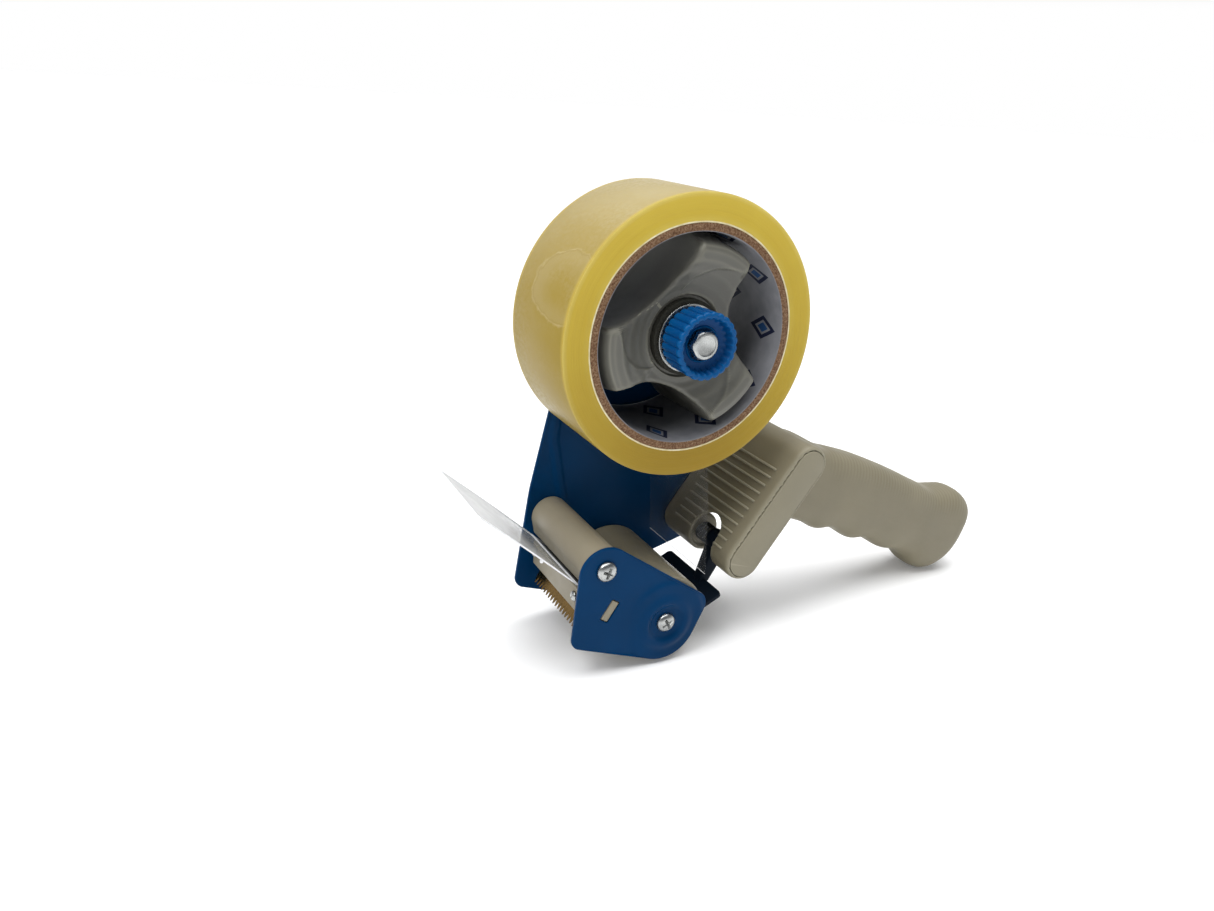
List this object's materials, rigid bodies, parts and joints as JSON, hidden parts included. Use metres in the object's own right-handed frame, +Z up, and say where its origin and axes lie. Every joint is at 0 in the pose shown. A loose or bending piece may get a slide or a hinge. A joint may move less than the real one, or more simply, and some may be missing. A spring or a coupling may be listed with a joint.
{
  "type": "tape gun dispenser",
  "caption": "Hand-held packing tape dispenser: a hub with tension knob carries the roll, tape runs over an applicator roller to a toothed blade and flap; moulded grip.",
  "frame": {"origin": "middle of the bounding box's footprint, on the surface that the roller and the butt of the grip rest on", "axes": "+X from the wiper flap towards the butt of the grip, +Y from the open side with the knob towards the main side plate, +Z up"},
  "size_m": [0.2596, 0.0654, 0.1806],
  "materials": {
    "blue_paint": "deep blue paint, semi gloss",
    "beige_plastic": "grey-beige moulded plastic, fine satin grain",
    "roller_plastic": "grey-beige moulded plastic, satin",
    "hub_plastic": "grey moulded plastic, satin",
    "blue_knob_plastic": "bright blue moulded plastic",
    "zinc_steel": "zinc plated",
    "blade_steel": "ground steel, thin warm lacquer",
    "spring_steel": "dark drawn wire",
    "black_steel": "black finished spring steel",
    "friction_rubber": "dark fibre and rubber ring",
    "card_core": "wound brown paperboard",
    "paper_liner": "pale grey paper",
    "wound_tape": "wound amber packing tape, smooth film face and matt cut edges",
    "tape_film": "clear packing tape film",
    "flap_sheet": "milky flexible sheet"
  },
  "bodies": {
    "frame": {"main_side_plate": "blue_paint", "cheek_plate": "blue_paint", "blade_holder": "beige_plastic", "blade": "blade_steel", "blade_cover": "beige_plastic", "wiper_flap_root": "flap_sheet", "cheek_screw_bar": "zinc_steel", "cheek_screw_roller": "zinc_steel", "plate_screw_bar": "zinc_steel", "plate_screw_roller": "zinc_steel", "handle_screw_low": "zinc_steel", "handle_screw_middle": "zinc_steel", "handle_screw_high": "zinc_steel", "cover_screw_near": "zinc_steel", "cover_screw_far": "zinc_steel", "roller_axle": "zinc_steel", "handle": "beige_plastic", "handle_end_cap": "beige_plastic", "retainer_pin": "zinc_steel", "retainer_spring": "spring_steel", "hub_axle": "zinc_steel", "axle_nut": "zinc_steel", "friction_ring": "friction_rubber", "pressure_washer": "zinc_steel", "tape_tail": "tape_film"},
    "roll": {"hub": "hub_plastic", "core_liner": "paper_liner", "tape_core": "card_core", "tape_roll": "wound_tape"},
    "roller": {"applicator_roller": "roller_plastic"},
    "carriage": {"brake_spring": "spring_steel"},
    "knob": {"tension_knob": "blue_knob_plastic", "knob_bolt": "zinc_steel"},
    "retainer": {"tape_retainer": "black_steel"},
    "flap": {"wiper_flap": "flap_sheet"}
  },
  "joints": [
    {"name": "roll_spin", "type": "hinge", "parent": "frame", "child": "roll", "pos_m": [-0.04983, -0.00075, 0.1295], "axis": [0, 1, 0], "continuous": true},
    {"name": "roller_spin", "type": "hinge", "parent": "frame", "child": "roller", "pos_m": [-0.05434, -0.00075, 0.01825], "axis": [0, 1, 0], "continuous": true},
    {"name": "knob_feed", "type": "slide", "parent": "frame", "child": "carriage", "axis": [0, 1, 0], "range_m": [-0.001, 0.0003]},
    {"name": "knob_turn", "type": "hinge", "parent": "carriage", "child": "knob", "pos_m": [-0.04983, -0.00075, 0.1295], "axis": [0, 1, 0], "range_deg": [-361, 109]},
    {"name": "retainer_swing", "type": "hinge", "parent": "frame", "child": "retainer", "pos_m": [-0.01884, -0.00075, 0.0377], "axis": [0, 1, 0], "range_deg": [-25, 0], "stiffness_Nm_per_rad": 0.05, "springref_deg": 28.65},
    {"name": "flap_flex", "type": "hinge", "parent": "frame", "child": "flap", "pos_m": [-0.09076, -0.00075, 0.03932], "axis": [0, 1, 0], "range_deg": [-12, 15], "stiffness_Nm_per_rad": 0.03}
  ],
  "couplings": [
    {"joint": "knob_turn", "follows": "knob_feed", "rad_per_m": 6283.2}
  ]
}
